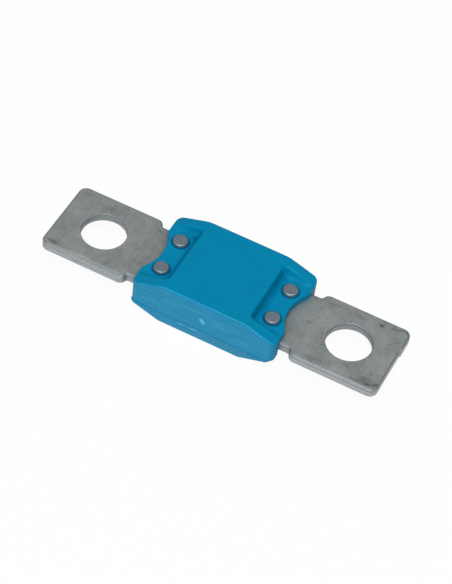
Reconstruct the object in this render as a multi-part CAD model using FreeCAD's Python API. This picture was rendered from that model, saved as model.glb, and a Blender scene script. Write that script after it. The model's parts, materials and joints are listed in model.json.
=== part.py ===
import FreeCAD, Part
import math
import os

# Bolt down strip fuse, lying on the flat base of its housing.
# A stamped metal strip with two bolt holes runs through a moulded housing of two shells,
# and four rivets clamp shell, strip and shell together.
# Units are millimetres. X runs along the strip, Y across it and Z is up.
# The origin is on the base, below the middle between the two bolt holes.

# Strip sizes
bolt_spacing = 51.0
bolt_hole_diameter = 8.8
blade_reach = 9.15
strip_thickness = 1.9
blade_width = 16.6
blade_corner_radius = 1.6
shoulder_spacing = 33.8
shoulder_radius = 1.3
neck_width = 13.85
neck_root_radius = 0.6
top_edge_roll = 0.5
bottom_edge_break = 0.15
hole_edge_break = 0.2

# Fusible link between the necks, inside the housing
link_length = 15.2
link_width = 4.0
link_corner_radius = 1.5
thin_length = 8.0
thin_thickness = 1.0
waist_radius = 1.1

# Outer form of the housing. Its width is that at the widest level, the upper length is that
# at the foot of the sloping ends, and the lower length is that at the seam.
body_height = 10.0
body_width = 18.96
upper_length = 29.5
lower_length = 28.9
lower_slip = 0.3
flat_length = 16.7
end_slope = 20.0
upper_corner_radius = 1.3
lower_corner_radius = 1.0
bay_depth = 1.6
bay_radius = 8.9
bay_lip_radius = 1.5
side_draft = 1.0
end_draft = 3.0
top_edge_radius = 0.3
base_edge_break = 0.3

# Levels above the base
strip_middle_level = 5.05
seam_level = 2.7
widest_level = 4.25
seam_chamfer = 0.15

# Shell walls and the chamber round the link
top_wall = 1.75
bottom_wall = 1.75
end_wall = 1.7
chamber_length = 13.8
chamber_corner_radius = 1.0
lip_thickness = 0.85
neck_clearance = 0.2
shell_clearance = 0.1

# Recesses in the sloping ends. The wall spacing is that at the top of their inner walls.
recess_width = 14.3
recess_wall_spacing = 16.9
recess_corner_radius = 0.8
recess_foot_radius = 0.4
recess_draft = 4.0

# Rivets
rivet_spacing_x = 22.9
rivet_spacing_y = 7.64
shank_diameter = 2.0
head_diameter = 2.95
head_height = 0.6
head_edge_break = 0.25
shank_clearance = 0.1

# Lengths, levels and widths that follow from the sizes above
strip_length = bolt_spacing + 2 * blade_reach
strip_top = strip_middle_level + strip_thickness / 2
strip_bottom = strip_middle_level - strip_thickness / 2
upper_floor = strip_top + end_wall
lower_floor = strip_bottom - end_wall
pocket_width = neck_width + 2 * neck_clearance
block_width = pocket_width - 2 * shell_clearance

# Cutting tools reach this far past what they cut
reach = 5.0

# Outer edges are looked for in a band this wide inside the outer walls
rim_band = 0.5

# Lengths that differ by less than this count as equal
length_tolerance = 0.01

origin = FreeCAD.Vector(0, 0, 0)
up = FreeCAD.Vector(0, 0, 1)
sides = (-1, 1)


def near(value, target):
    return abs(value - target) < length_tolerance


def centred_box(length, width, low, high):
    """Box of the given length and width, standing between two levels."""
    corner = FreeCAD.Vector(-length / 2, -width / 2, low)
    return Part.makeBox(length, width, high - low, corner)


def edges_where(shape, test):
    """Edges of a shape whose every vertex passes the test."""
    return [edge for edge in shape.Edges if all(test(vertex.Point) for vertex in edge.Vertexes)]


def upright_edges(shape, test):
    """Upright edges of a shape that pass the test at both ends."""
    found = []
    for edge in edges_where(shape, test):
        if near(edge.BoundBox.XLength, 0) and near(edge.BoundBox.YLength, 0):
            found.append(edge)
    return found


def arc_edge(centre_x, centre_y, radius, start, end, level):
    """Arc about an upright axis, from one angle to another in degrees."""
    points = []
    for angle in (start, (start + end) / 2, end):
        turn = math.radians(angle)
        x = centre_x + radius * math.cos(turn)
        y = centre_y + radius * math.sin(turn)
        points.append(FreeCAD.Vector(x, y, level))
    return Part.Arc(*points).toShape()


def line_edge(first, second):
    return Part.LineSegment(first, second).toShape()


def cross_prism(corners):
    """Prism that runs across the housing, from corners given as x and z."""
    points = [FreeCAD.Vector(x, -body_width, z) for x, z in corners]
    face = Part.Face(Part.makePolygon(points + points[:1]))
    return face.extrude(FreeCAD.Vector(0, 2 * body_width, 0))


def long_prism(corners):
    """Prism that runs along the housing, from corners given as y and z."""
    points = [FreeCAD.Vector(-upper_length, y, z) for y, z in corners]
    face = Part.Face(Part.makePolygon(points + points[:1]))
    return face.extrude(FreeCAD.Vector(2 * upper_length, 0, 0))


def drafted_block(length, corner_radius, low, high, lean):
    """Block between two levels, with round upright corners.

    Its sides lean in away from the widest level. Its ends lean in below the upper recess floor.
    """
    side_lean = math.tan(math.radians(side_draft))
    low_end = length / 2 - (upper_floor - low) * lean
    high_end = length / 2 - (upper_floor - high) * lean
    ends = cross_prism([(-low_end, low), (low_end, low), (high_end, high), (-high_end, high)])
    levels = sorted({low, min(max(widest_level, low), high), high})
    right = [(body_width / 2 - abs(level - widest_level) * side_lean, level) for level in levels]
    left = [(-y, level) for y, level in reversed(right)]
    block = ends.common(long_prism(right + left))
    corners = [edge for edge in edges_where(block, lambda point: abs(point.x) > length / 2 - rim_band)
               if not near(edge.BoundBox.ZLength, 0)]
    return block.makeFillet(corner_radius, corners)


def slopes(low, high, flat_level):
    """Wide block whose flat top, or flat base, falls away in a slope towards each end."""
    half_flat = flat_length / 2
    half_reach = upper_length / 2 + reach
    drop = (half_reach - half_flat) * math.tan(math.radians(end_slope))
    direction = 1 if flat_level == high else -1
    plain_level = low if direction > 0 else high
    return cross_prism([
        (-half_flat, flat_level),
        (half_flat, flat_level),
        (half_reach, flat_level - direction * drop),
        (half_reach, plain_level - direction * reach),
        (-half_reach, plain_level - direction * reach),
        (-half_reach, flat_level - direction * drop),
    ])


def bay_cutter(side, length, lean):
    """Cutter of the shallow bay in one end, with round lips, leaning as the end wall does."""
    level = -reach
    height = body_height + 2 * reach
    end = length / 2 - (upper_floor - level) * lean
    bay_centre = end - bay_depth + bay_radius
    lip_centre = math.sqrt(bay_depth * (2 * (bay_radius + bay_lip_radius) - bay_depth))
    meeting_angle = math.degrees(math.atan2(lip_centre, bay_centre - end + bay_lip_radius))
    far = end + reach
    front = FreeCAD.Vector(end, -lip_centre, level)
    back = FreeCAD.Vector(end, lip_centre, level)
    far_front = FreeCAD.Vector(far, -lip_centre, level)
    far_back = FreeCAD.Vector(far, lip_centre, level)
    outline = Part.Wire([
        arc_edge(end - bay_lip_radius, -lip_centre, bay_lip_radius, 0, meeting_angle, level),
        arc_edge(bay_centre, 0, bay_radius, 180 + meeting_angle, 180 - meeting_angle, level),
        arc_edge(end - bay_lip_radius, lip_centre, bay_lip_radius, -meeting_angle, 0, level),
        line_edge(back, far_back),
        line_edge(far_back, far_front),
        line_edge(far_front, front),
    ])
    cutter = Part.Face(outline).extrude(FreeCAD.Vector(height * lean, 0, height))
    if side < 0:
        cutter.rotate(origin, up, 180)
    return cutter


def recess_cutter(side, floor, direction):
    """Cutter of one end recess, with a leaning inner wall and round corners."""
    slant = math.tan(math.radians(recess_draft))
    height = body_height / 2
    foot = recess_wall_spacing / 2 + (body_height - upper_floor) * slant
    far = upper_length / 2 + reach
    corners = [
        (foot, floor),
        (far, floor),
        (far, floor + direction * height),
        (foot - height * slant, floor + direction * height),
    ]
    points = [FreeCAD.Vector(side * x, -recess_width / 2, z) for x, z in corners]
    face = Part.Face(Part.makePolygon(points + points[:1]))
    cutter = face.extrude(FreeCAD.Vector(0, recess_width, 0))
    wall_corners = [edge for edge in edges_where(cutter, lambda point: abs(point.x) < far - reach)
                    if near(edge.BoundBox.YLength, 0)]
    return cutter.makeFillet(recess_corner_radius, wall_corners)


def round_foot(cutter, floor):
    """Recess cutter with a round foot along its walls."""
    far = upper_length / 2 + reach
    foot = [edge for edge in edges_where(cutter, lambda point: near(point.z, floor))
            if not near(abs(edge.BoundBox.Center.x), far)]
    return cutter.makeFillet(recess_foot_radius, foot)


def rivet_places():
    """Name and place of each rivet."""
    places = []
    for side, side_name in zip(sides, ("left", "right")):
        for row, row_name in zip(sides, ("front", "back")):
            name = "rivet_" + side_name + "_" + row_name
            places.append((name, side * rivet_spacing_x / 2, row * rivet_spacing_y / 2))
    return places


def rivet_hole_cutter():
    """Upright pins, a clearance wider than the rivet shanks, at the four rivet places."""
    radius = shank_diameter / 2 + shank_clearance
    pins = []
    for name, x, y in rivet_places():
        pins.append(Part.makeCylinder(radius, body_height, FreeCAD.Vector(x, y, 0)))
    return Part.makeCompound(pins)


def bolt_hole_cutter():
    """Upright pins at the two bolt places."""
    pins = []
    for side in sides:
        foot = FreeCAD.Vector(side * bolt_spacing / 2, 0, 0)
        pins.append(Part.makeCylinder(bolt_hole_diameter / 2, body_height, foot))
    return Part.makeCompound(pins)


def make_plate():
    """Blades and necks as one flat plate with sharp edges."""
    blade_length = (strip_length - shoulder_spacing) / 2
    plate = centred_box(shoulder_spacing, neck_width, strip_bottom, strip_top)
    for side in sides:
        blade = centred_box(blade_length, blade_width, strip_bottom, strip_top)
        blade = blade.makeFillet(blade_corner_radius,
                                 upright_edges(blade, lambda point: point.x * side > 0))
        blade = blade.makeFillet(shoulder_radius,
                                 upright_edges(blade, lambda point: near(point.x * side, -blade_length / 2)))
        blade.translate(FreeCAD.Vector(side * (shoulder_spacing + blade_length) / 2, 0, 0))
        plate = plate.fuse(blade)
    plate = plate.removeSplitter()
    roots = upright_edges(plate, lambda point: near(abs(point.x), shoulder_spacing / 2)
                          and near(abs(point.y), neck_width / 2))
    return plate.makeFillet(neck_root_radius, roots)


def make_strip():
    """The whole stamped strip: rolled edges, bolt holes, thinned link and rivet holes."""
    strip = make_plate()
    strip = strip.makeFillet(top_edge_roll, edges_where(strip, lambda point: near(point.z, strip_top)))
    strip = strip.makeChamfer(bottom_edge_break,
                              edges_where(strip, lambda point: near(point.z, strip_bottom)))
    strip = strip.cut(bolt_hole_cutter())
    hole_rims = [edge for edge in strip.Edges if near(edge.BoundBox.XLength, bolt_hole_diameter)
                 and near(edge.BoundBox.YLength, bolt_hole_diameter)]
    strip = strip.makeChamfer(hole_edge_break, hole_rims)
    for side in sides:
        window = centred_box(link_length, neck_width, strip_bottom, strip_top)
        inner_corners = upright_edges(window, lambda point: point.y * side < 0)
        window = window.makeFillet(link_corner_radius, inner_corners)
        window.translate(FreeCAD.Vector(0, side * (link_width + neck_width) / 2, 0))
        strip = strip.cut(window)
    coin_depth = (strip_thickness - thin_thickness) / 2
    strip = strip.cut(centred_box(thin_length, neck_width, strip_top - coin_depth, strip_top))
    strip = strip.cut(centred_box(thin_length, neck_width, strip_bottom, strip_bottom + coin_depth))
    for side in sides:
        waist_foot = FreeCAD.Vector(0, side * link_width / 2, strip_bottom)
        strip = strip.cut(Part.makeCylinder(waist_radius, strip_thickness, waist_foot))
    return strip.cut(rivet_hole_cutter())


def make_chamber(width, low, high):
    """Hollow round the fusible link, with round upright corners."""
    hollow = centred_box(chamber_length, width, low, high)
    return hollow.makeFillet(chamber_corner_radius, upright_edges(hollow, lambda point: True))


def side_rim(shell, plain_level):
    """Edges between the side walls and the flat and sloping faces of a shell."""
    beside_wall = body_width / 2 - rim_band
    edges = edges_where(shell, lambda point: abs(point.y) > beside_wall
                        and not near(point.z, plain_level) and not near(point.z, widest_level))
    return [edge for edge in edges if edge.BoundBox.XLength > edge.BoundBox.ZLength]


def break_seam(shell):
    """Shell with its outer edges at the seam broken."""
    seam = edges_where(shell, lambda point: near(point.z, seam_level))
    return shell.makeChamfer(seam_chamfer, seam)


def make_upper_housing():
    """Upper shell: a top with sloping ends, deep skirts beside the strip and two end recesses."""
    lean = math.tan(math.radians(end_draft))
    shell = drafted_block(upper_length, upper_corner_radius, seam_level, body_height, lean)
    shell = shell.common(slopes(seam_level, body_height, body_height))
    shell = shell.makeFillet(top_edge_radius, side_rim(shell, seam_level))
    shell = break_seam(shell)
    for side in sides:
        shell = shell.cut(bay_cutter(side, upper_length, lean))
        shell = shell.cut(round_foot(recess_cutter(side, upper_floor, 1), upper_floor))
    shell = shell.cut(centred_box(upper_length + reach, pocket_width, seam_level - reach, strip_top))
    shell = shell.cut(make_chamber(pocket_width, seam_level, body_height - top_wall))
    return shell.cut(rivet_hole_cutter())


def make_lower_housing():
    """Lower shell: a shallow tray with sloping ends and a block that fits between the skirts."""
    tray = drafted_block(lower_length, lower_corner_radius, 0, seam_level, 0)
    tray = tray.common(slopes(0, seam_level, 0))
    tray = tray.makeChamfer(base_edge_break, side_rim(tray, seam_level))
    tray = break_seam(tray)
    shell = tray.fuse(centred_box(lower_length, block_width, seam_level - seam_chamfer, strip_bottom))
    for side in sides:
        shell = shell.cut(bay_cutter(side, lower_length, 0))
    shell.translate(FreeCAD.Vector(-lower_slip, 0, 0))
    for side in sides:
        shell = shell.cut(recess_cutter(side, lower_floor, -1))
    shell = shell.cut(make_chamber(block_width - 2 * lip_thickness, bottom_wall, strip_bottom))
    return shell.cut(rivet_hole_cutter())


def make_rivet():
    """Rivet about the Z axis: a shank with a flat head at each end."""
    head_top = upper_floor + head_height
    head = Part.makeCylinder(head_diameter / 2, head_height, FreeCAD.Vector(0, 0, upper_floor))
    head_rim = [edge for edge in head.Edges if near(edge.BoundBox.ZMin, head_top)]
    head = head.makeChamfer(head_edge_break, head_rim)
    middle = FreeCAD.Vector(0, 0, strip_middle_level)
    shank = Part.makeCylinder(shank_diameter / 2, upper_floor - strip_middle_level, middle)
    half = head.fuse(shank)
    return half.fuse(half.mirror(middle, up)).removeSplitter()


def save(name, shape):
    if len(shape.Solids) != 1 or not shape.isValid():
        raise ValueError(name + " is not one valid solid")
    solid = shape.Solids[0]
    solid.exportStep("parts/" + name + ".step")
    print(name, "volume", round(solid.Volume, 2), "faces", len(solid.Faces))


os.makedirs("parts", exist_ok=True)
save("fuse_strip", make_strip())
save("upper_housing", make_upper_housing())
save("lower_housing", make_lower_housing())
for rivet_name, rivet_x, rivet_y in rivet_places():
    rivet = make_rivet()
    rivet.translate(FreeCAD.Vector(rivet_x, rivet_y, 0))
    save(rivet_name, rivet)
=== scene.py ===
# Looks of a bolt down strip fuse: stamped zinc strip, blue moulded housing and four rivets.
# Shapes are worked out in millimetres and stored in metres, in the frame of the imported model.
import json
import math
from functools import partial

import bmesh
import bpy
import numpy as np
from mathutils import Matrix, Vector, geometry


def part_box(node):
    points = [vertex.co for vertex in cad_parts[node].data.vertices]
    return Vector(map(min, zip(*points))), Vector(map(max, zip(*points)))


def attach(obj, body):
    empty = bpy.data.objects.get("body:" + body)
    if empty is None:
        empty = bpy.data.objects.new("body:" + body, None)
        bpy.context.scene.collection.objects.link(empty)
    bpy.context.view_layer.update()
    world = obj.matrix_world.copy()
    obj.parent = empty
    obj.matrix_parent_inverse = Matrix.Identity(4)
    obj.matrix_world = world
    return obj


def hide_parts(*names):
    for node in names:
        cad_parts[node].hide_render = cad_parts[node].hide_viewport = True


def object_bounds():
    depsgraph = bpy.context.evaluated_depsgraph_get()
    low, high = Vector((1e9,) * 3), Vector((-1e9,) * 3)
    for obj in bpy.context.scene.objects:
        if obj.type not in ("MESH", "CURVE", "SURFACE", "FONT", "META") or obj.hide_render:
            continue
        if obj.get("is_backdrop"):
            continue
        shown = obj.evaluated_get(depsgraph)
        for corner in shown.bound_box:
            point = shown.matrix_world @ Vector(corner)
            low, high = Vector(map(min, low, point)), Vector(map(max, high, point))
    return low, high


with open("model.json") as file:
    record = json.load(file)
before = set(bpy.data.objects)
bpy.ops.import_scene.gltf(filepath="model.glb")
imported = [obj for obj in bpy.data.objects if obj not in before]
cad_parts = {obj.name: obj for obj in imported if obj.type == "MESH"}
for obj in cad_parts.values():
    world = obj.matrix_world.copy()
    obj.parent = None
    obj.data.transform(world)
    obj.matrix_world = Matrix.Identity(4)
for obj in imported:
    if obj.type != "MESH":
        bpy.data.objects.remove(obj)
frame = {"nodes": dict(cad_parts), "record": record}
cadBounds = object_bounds()
nodes = frame["nodes"]
mm = 0.001
mergeWithin = 0.001 * mm  # points this close together are one
print("frame loaded with", len(nodes), "nodes")


# Helpers for meshes and materials

def boxOf(nodeName):
    # lowest and highest corner of a node, in millimetres
    return [np.array(corner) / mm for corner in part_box(nodeName)]


def link(name, data):
    # new object in the scene, from a mesh, a camera or a light
    piece = bpy.data.objects.new(name, data)
    bpy.context.collection.objects.link(piece)
    return piece


def joinParts(name, parts):
    # one mesh from (points, faces) parts in millimetres, with meeting points merged and faces outwards
    bm = bmesh.new()
    for points, faces in parts:
        mesh = bpy.data.meshes.new("part")
        mesh.from_pydata((np.asarray(points) * mm).tolist(), [], [tuple(map(int, face)) for face in faces])
        bm.from_mesh(mesh)
        bpy.data.meshes.remove(mesh)
    bmesh.ops.remove_doubles(bm, verts=bm.verts, dist=mergeWithin)
    bmesh.ops.recalc_face_normals(bm, faces=bm.faces)
    mesh = bpy.data.meshes.new(name)
    bm.to_mesh(mesh)
    bm.free()
    return mesh


def smoothBelow(mesh, degrees):
    # smooth shading, with edges sharper than the angle kept crisp
    mesh.shade_smooth()
    mesh.set_sharp_from_angle(angle=math.radians(degrees))


def ringFaces(rings, count):
    # quads between neighbouring points of rings stored one after the other, each closed round
    ring, place = np.meshgrid(np.arange(rings - 1), np.arange(count), indexing="ij")
    first = ring * count
    following = (place + 1) % count
    corners = (first + place, first + count + place, first + count + following, first + following)
    return np.stack(corners, axis=-1).reshape(-1, 4)


def arcOutline(arcs, step):
    # closed outline through arcs (centre x, centre y, radius, start and end in degrees) with straight runs
    # between them: arc point = centre + radius * (cos a, sin a), run point = start + (end - start) * share
    runs = []
    for x, y, radius, start, end in arcs:
        sweep = radius * abs(math.radians(end - start))
        turn = np.radians(np.linspace(start, end, int(sweep / step) + 2))
        runs.append(np.stack([x + radius * np.cos(turn), y + radius * np.sin(turn)], axis=1))
    outline = []
    for run, following in zip(runs, runs[1:] + runs[:1]):
        gap = following[0] - run[-1]
        share = np.linspace(0, 1, int(np.hypot(*gap) / step) + 2)[1:-1, None]
        outline += [run, run[-1] + gap * share]
    outline = np.concatenate(outline)
    apart = np.hypot(*(outline - np.roll(outline, 1, axis=0)).T)
    return outline[apart > step / 50]


def outwardNormals(outline):
    # unit normals to the right of the way along a closed outline, each square to the line through the two
    # neighbours of its point
    along = np.roll(outline, -1, axis=0) - np.roll(outline, 1, axis=0)
    along /= np.hypot(*along.T)[:, None]
    return np.stack([along[:, 1], -along[:, 0]], axis=1)


def edgeBand(outline, profile):
    # profile of (inset, level) pairs carried round an outline: point = outline - normal * inset, at level
    inset, level = np.array(profile, dtype=float).T
    plan = outline[None] - outwardNormals(outline)[None] * inset[:, None, None]
    height = np.broadcast_to(level[:, None, None], plan.shape[:2] + (1,))
    points = np.concatenate([plan, height], axis=2)
    return points, ringFaces(len(profile), len(outline))


def insideLoops(points, loops):
    # true for points inside the first loop and outside the others: an odd number of loop edges cross the
    # line from the point to the right, each at x = start x + (y - start y) * run / rise
    starts = np.concatenate(loops)
    ends = np.concatenate([np.roll(loop, -1, axis=0) for loop in loops])
    x, y = points[:, :1], points[:, 1:2]
    spans = (starts[:, 1] > y) != (ends[:, 1] > y)
    rise = np.where(ends[:, 1] == starts[:, 1], 1, ends[:, 1] - starts[:, 1])
    crossing = starts[:, 0] + (y - starts[:, 1]) * (ends[:, 0] - starts[:, 0]) / rise
    return (spans & (crossing > x)).sum(axis=1) % 2 == 1


def fillPlan(loops, inner):
    # triangles over the area inside the first loop and outside the others, through some inner points
    edges = []
    count = 0
    for loop in loops:
        index = np.arange(len(loop))
        edges.append(np.stack([index, (index + 1) % len(loop)], axis=1) + count)
        count += len(loop)
    plan = [Vector(point) for point in np.concatenate([*loops, inner]).tolist()]
    insideOnly, closest = 1, 1e-7
    result = geometry.delaunay_2d_cdt(plan, np.concatenate(edges).tolist(), [], insideOnly, closest)
    points, faces = result[0], result[2]
    points = np.array([tuple(point) for point in points])
    faces = np.array(faces)
    return points, faces[insideLoops(points[faces].mean(axis=1), loops)]


def hexColor(code):
    # sRGB hex value to the linear colour that a shader takes
    parts = [int(code[i:i + 2], 16) / 255 for i in (1, 3, 5)]
    linear = [v / 12.92 if v <= 0.04045 else ((v + 0.055) / 1.055) ** 2.4 for v in parts]
    return (*linear, 1.0)


def newMaterial(name):
    # empty node material, and addNode for its node tree
    material = bpy.data.materials.new(name)
    material.use_nodes = True
    material.node_tree.nodes.clear()
    return material, partial(addNode, material.node_tree)


def addNode(tree, kind, inputs=None, **settings):
    # adds one node with its settings, and fills its inputs, given by name or by place, with plain values,
    # sockets, or other nodes, whose first output in use is taken; what isn't given keeps Blender's default,
    # such as 0 and 1 for Map Range's limits, which are its inputs 1 to 4
    node = tree.nodes.new("ShaderNode" + kind)
    for key, value in settings.items():
        setattr(node, key, value)
    for key, value in (inputs or {}).items():
        if isinstance(value, bpy.types.Node):
            value = next(socket for socket in value.outputs if socket.enabled)
        if isinstance(value, bpy.types.NodeSocket):
            tree.links.new(value, node.inputs[key])
        else:
            node.inputs[key].default_value = value
    return node


def between(base, ends):
    # Map Range's from and to, given in millimetres past a base
    return {1: (base + ends[0]) * mm, 2: (base + ends[1]) * mm}


def markFade(add, place, middle, turn, reach):
    # share of a soft oval mark, from 1 in its middle to 0 at its reach, both in millimetres
    spot = add("Mapping", {
        "Vector": place, "Location": [v * mm for v in middle], "Rotation": turn,
        "Scale": [v * mm for v in reach]}, vector_type="TEXTURE")
    return add("TexGradient", {0: spot}, gradient_type="SPHERICAL").outputs["Fac"]


# Camera, at the photograph's angle and with its perspective

cameraView = {
    "location": (93.708, -246.363, 312.733),  # mm
    "target": (0.551, -0.455, 5.05),  # mm
    "roll": 8.241,  # degrees
    "lens": 135.03,  # mm
    "sensorWidth": 36,  # mm
    "nearest": 10,  # mm, closer than which nothing is drawn
}


def aimed(place, target):
    # matrix of a camera or a light at a place that looks at a target
    return Matrix.Translation(place) @ (target - place).to_track_quat("-Z", "Y").to_matrix().to_4x4()


camera = link("camera", bpy.data.cameras.new("camera"))
cameraPlace, cameraTarget = [Vector(cameraView[key]) * mm for key in ("location", "target")]
cameraRoll = Matrix.Rotation(math.radians(cameraView["roll"]), 4, "Z")
camera.matrix_world = aimed(cameraPlace, cameraTarget) @ cameraRoll
camera.data.lens = cameraView["lens"]
camera.data.sensor_width = cameraView["sensorWidth"]
camera.data.clip_start = cameraView["nearest"] * mm
bpy.context.scene.camera = camera
bpy.context.scene.view_settings.view_transform = "Standard"


# Light and floor

studio = {
    "worldLevel": 0.18,  # radiance of the room all round, where 1 is white
    "overheadPlace": (0.15, -0.5, 1.05),  # m
    "overheadSize": (0.5, 0.9),  # m
    "overheadLevel": 0.94,  # how white the box alone makes a white card that faces it
    "frontPlace": (0.0, -1.1, 0.35),
    "frontSize": (1.0, 0.4),
    "frontLevel": 0.10,
    "floorGlow": 0.94,  # share of the floor's white that no shadow reaches, as the camera sees it
    "mirroredGlow": 0.1,  # the same in gloss, where the shadow below the blades shows more
    "floorWidth": 8000,  # mm
    "floorLevel": -0.02,  # just below the base, so that the two faces don't lie in one plane
}


def addSoftBox(name, place, size, level):
    # soft box aimed at the fuse, with the power that lights a white card facing it to the level
    light = bpy.data.lights.new(name, "AREA")
    light.shape = "RECTANGLE"
    light.size, light.size_y = size
    place = Vector(place)
    link(name, light).matrix_world = aimed(place, Vector())
    light.energy = level * math.pi ** 2 * place.length_squared


def plainWhiteShare(add, toCamera):
    # share of plain white that a ground shows to the camera, and the smaller one that it shows in gloss
    rays = add("LightPath").outputs
    mirrored = add("Math", {0: rays["Is Glossy Ray"], 1: rays["Is Transmission Ray"]}, operation="MAXIMUM")
    mirrored = add("Math", {0: mirrored, 1: studio["mirroredGlow"]}, operation="MULTIPLY")
    return add("Math", {0: rays["Is Camera Ray"], 1: toCamera, 2: mirrored}, operation="MULTIPLY_ADD")


def whitePaper():
    # matt white paper sweep: plain white to the camera and in gloss, but for a share of real shadow
    material, add = newMaterial("white_paper_sweep")
    paper = add("BsdfDiffuse", {"Color": hexColor("#f4f4f2")})
    ground = add("Emission", {"Color": hexColor("#ffffff"), "Strength": 1.0})
    share = plainWhiteShare(add, studio["floorGlow"])
    mixed = add("MixShader", {0: share, 1: paper, 2: ground})
    add("OutputMaterial", {"Surface": mixed})
    return material


addSoftBox("overhead_box", studio["overheadPlace"], studio["overheadSize"], studio["overheadLevel"])
addSoftBox("front_box", studio["frontPlace"], studio["frontSize"], studio["frontLevel"])
world = bpy.data.worlds.new("studio_room")
bpy.context.scene.world = world
world.use_nodes = True
addToWorld = partial(addNode, world.node_tree)
share = plainWhiteShare(addToWorld, 1.0)
share = addToWorld("MapRange", {0: share, 3: studio["worldLevel"]})
room = addToWorld("Background", {"Color": hexColor("#ffffff"), "Strength": share})
world.node_tree.links.new(room.outputs[0], world.node_tree.nodes["World Output"].inputs["Surface"])

half = studio["floorWidth"] / 2
corners = [(-half, -half), (half, -half), (half, half), (-half, half)]
floorCorners = [(x, y, studio["floorLevel"]) for x, y in corners]
floor = link("floor", joinParts("floor", [(floorCorners, [(0, 1, 2, 3)])]))
floor.data.materials.append(whitePaper())
floor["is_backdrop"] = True
print("camera, lights and floor placed")


# Strip

strip = {
    "node": "fuse_strip",
    "boltHoleRadius": 4.4,
    "cornerRadius": 1.6,
    "shoulder": 16.9,  # mm from the middle to where each blade narrows
    "shoulderRadius": 1.3,
    "neckWidth": 13.85,
    "rootRadius": 0.6,
    "linkLength": 15.2,
    "linkWidth": 4.0,
    "linkCornerRadius": 1.5,
    "thinLength": 8.0,
    "thinThickness": 1.0,
    "thinRamp": 0.1,  # mm over which the coined middle ends
    "waistRadius": 1.1,
    "rollRadius": 0.45,  # edge drawn down by the punch
    "wideRoll": 1.0,  # the same along the front of the left blade, where it smears over the groove
    "wideFrom": (-33.0, -26.0),  # mm along the strip over which it grows
    "wideTo": (-18.0, -17.0),  # and over which it ends
    "holeRoll": 0.14,  # the same round the bolt holes
    "rollDrop": 0.9,  # depth of the wide roll and of the holes' as a share of their radius
    "flatRim": 0.08,  # mm of flat face along the roll
    "scoreDrop": 0.5,  # mm below the top, where the roll ends in a fine groove
    "scoreDepth": 0.05,
    "score": [(0.4, 0.03), (1.0, 0), (1.0, -0.05), (0.2, -0.12)],  # share of the depth, mm above its level
    "lowerEdge": [(0, 0.16), (0.05, 0.05), (0.15, 0), (0.22, 0)],  # inset, mm above the lower face
    "plainBreak": 0.02,  # broken edge of the rivet holes
    "cropStep": 0.2,  # step that the cropping tool left in the right end
    "cropPlace": 3.2,
    "cropRun": 0.1,  # mm along the end over which the step rises
    "easedReach": (0.2, 1.0),  # mm from a sharp corner over which the insets grow back
    "eased": 0.8,  # share by which they are smaller at the corner
    "creaseHalf": 1.2,  # mm either side of the middle that get points where the coining ends
    "keptSharp": 40,  # degrees above which an edge isn't shaded smooth
    "step": 0.15,  # mm between points along the outlines
}
rivets = {
    "shankRadius": 1.0,
    "holeRadius": 1.1,
    "headRadius": 1.475,
    "edgeRadius": 0.28,
    "headHeight": 0.6,
    "flatRim": 0.05,  # mm of flat head along its round edge
    "segments": 96,
}

low, high = boxOf(strip["node"])
strip["length"], strip["width"], strip["thickness"] = high - low
strip["middle"] = (low[2] + high[2]) / 2
rivetNames = sorted(name for name in nodes if name.startswith("rivet_"))
rivetBoxes = {name: boxOf(name) for name in rivetNames}
rivetPlaces = {name: (box[0] + box[1]) / 2 for name, box in rivetBoxes.items()}
mounts = frame["record"]["mounts"]
boltPlaces = [np.array(mount["pos_m"]) / mm for mount in mounts if mount["kind"] == "bore"]


def stripOutline():
    # plan of the strip, counter-clockwise: blades, shoulders, necks and link, front right quarter first
    tipX = strip["length"] / 2 - strip["cornerRadius"]
    tipY = strip["width"] / 2 - strip["cornerRadius"]
    shoulderX = strip["shoulder"] + strip["shoulderRadius"]
    shoulderY = strip["width"] / 2 - strip["shoulderRadius"]
    rootY = strip["neckWidth"] / 2 + strip["rootRadius"]
    apart = strip["shoulderRadius"] + strip["rootRadius"]
    rootX = shoulderX - math.sqrt(apart ** 2 - (rootY - shoulderY) ** 2)
    lean = math.degrees(math.asin((rootY - shoulderY) / apart))
    windowX = strip["linkLength"] / 2 - strip["linkCornerRadius"]
    windowY = strip["linkWidth"] / 2 + strip["linkCornerRadius"]
    quarter = [
        (0, -strip["linkWidth"] / 2, strip["waistRadius"], 90, 0),
        (windowX, -windowY, strip["linkCornerRadius"], 90, 0),
        (strip["linkLength"] / 2, -strip["neckWidth"] / 2, 0, 0, 0),
        (rootX, -rootY, strip["rootRadius"], 90, lean),
        (shoulderX, -shoulderY, strip["shoulderRadius"], 180 + lean, 270),
        (tipX, -tipY, strip["cornerRadius"], 270, 360),
    ]
    back = [(x, -y, radius, -end, -start) for x, y, radius, start, end in reversed(quarter)]
    endX, step, stepY = strip["length"] / 2, strip["cropStep"], strip["cropPlace"]
    cropped = [*quarter[:-1], (tipX - step, *quarter[-1][1:])]
    cropped += [(endX - step, stepY - strip["cropRun"], 0, 0, 0), (endX, stepY, 0, 0, 0)]
    right = quarter + back
    left = [(-x, -y, radius, start + 180, end + 180) for x, y, radius, start, end in right]
    return arcOutline(cropped + back + left, strip["step"])


def circleOutline(x, y, radius, step):
    # clockwise circle, so that its normals point into the hole
    turn = np.linspace(0, -2 * math.pi, int(2 * math.pi * radius / step), endpoint=False)
    return np.stack([x + radius * np.cos(turn), y + radius * np.sin(turn)], axis=1)


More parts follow.
